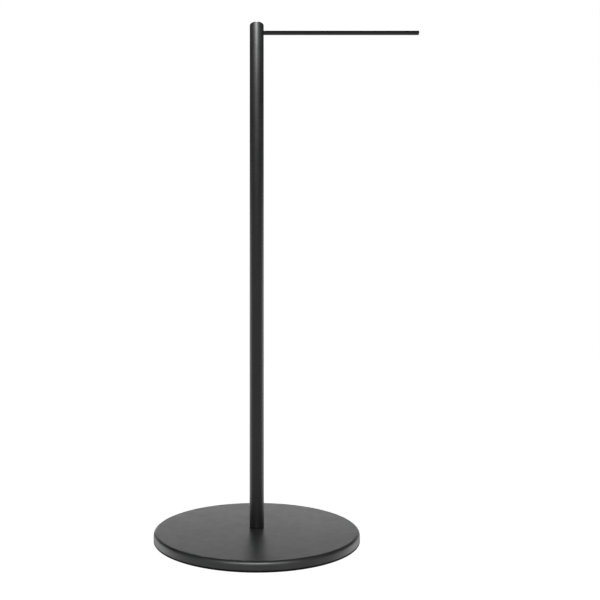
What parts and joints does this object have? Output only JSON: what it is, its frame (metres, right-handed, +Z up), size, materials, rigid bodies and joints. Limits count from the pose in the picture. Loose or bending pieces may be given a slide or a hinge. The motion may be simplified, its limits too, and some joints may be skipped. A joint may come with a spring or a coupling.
{
  "type": "standing coat rack",
  "caption": "Free-standing coat rack: a wide round weighted base, a slim upright post and one straight arm that sticks out near the top.",
  "frame": {"origin": "on the post's axis, at floor level, in the middle of the round base", "axes": "+Z up along the post, +X along the arm away from the post, +Y to the rear as seen with the arm pointing right"},
  "size_m": [0.792, 0.6, 1.535],
  "materials": {
    "base_coat": "satin",
    "post_coat": "satin",
    "cap_coat": "satin",
    "arm_coat": "satin",
    "edge_rubber": "matte",
    "cap_rubber": "matte",
    "gasket_rubber": "matte",
    "concrete": "matte",
    "plate_zinc": "satin",
    "bottom_zinc": "satin",
    "bolt_zinc": "satin",
    "insert_steel": "satin",
    "screw_zinc": "satin",
    "anchor_nylon": "satin"
  },
  "bodies": {
    "root": {"base_cover": "base_coat", "rubber_edge": "edge_rubber", "concrete_core": "concrete", "mounting_plate": "plate_zinc", "bottom_plate": "bottom_zinc", "bottom_plate_screw_1": "screw_zinc", "bottom_plate_screw_2": "screw_zinc", "bottom_plate_screw_3": "screw_zinc", "bottom_plate_screw_4": "screw_zinc", "bottom_plate_screw_5": "screw_zinc", "bottom_plate_screw_6": "screw_zinc", "screw_anchor_1": "anchor_nylon", "screw_anchor_2": "anchor_nylon", "screw_anchor_3": "anchor_nylon", "screw_anchor_4": "anchor_nylon", "screw_anchor_5": "anchor_nylon", "screw_anchor_6": "anchor_nylon", "access_cap": "cap_rubber", "tie_bolt": "bolt_zinc", "spring_washer": "bolt_zinc", "flat_washer": "bolt_zinc", "foot_gasket": "gasket_rubber", "foot_plug": "insert_steel", "post_tube": "post_coat", "arm_socket": "insert_steel", "top_cap": "cap_coat", "arm_rod": "arm_coat"}
  },
  "joints": []
}
